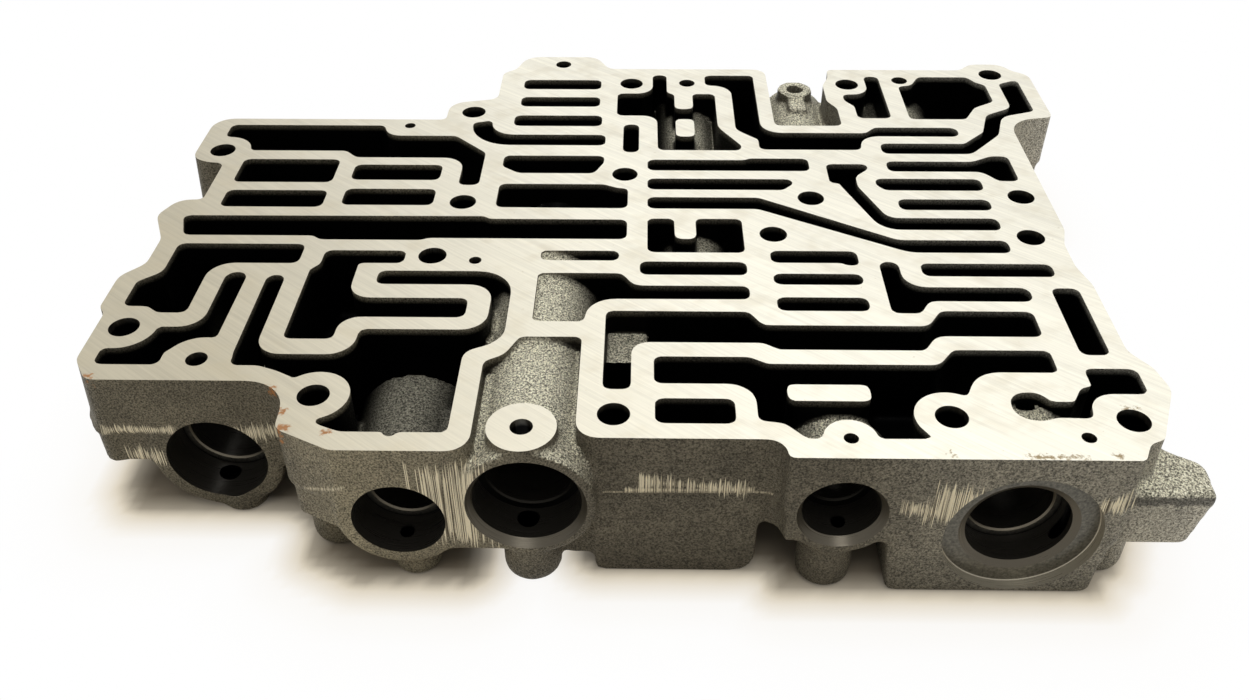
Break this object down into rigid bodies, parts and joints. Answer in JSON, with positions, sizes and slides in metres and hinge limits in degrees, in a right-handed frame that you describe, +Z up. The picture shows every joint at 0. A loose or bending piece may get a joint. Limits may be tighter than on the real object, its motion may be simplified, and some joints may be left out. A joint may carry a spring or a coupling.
{
  "type": "transmission valve body",
  "caption": "Cast iron valve body of an automatic gearbox: a machined face with a maze of oil channels, plug bores in the front, bolt and pin holes, barrels and a side lug.",
  "frame": {"origin": "middle of the casting's footprint at the level of its feet", "axes": "+X along the body to the side with the lug, +Y from the plugged front to the back, +Z up out of the machined channel face"},
  "size_m": [0.256, 0.192, 0.042],
  "materials": {
    "cast_iron": "rough as-cast, machined on the channel face"
  },
  "bodies": {
    "root": {"valve_body_casting": "cast_iron"}
  },
  "joints": []
}
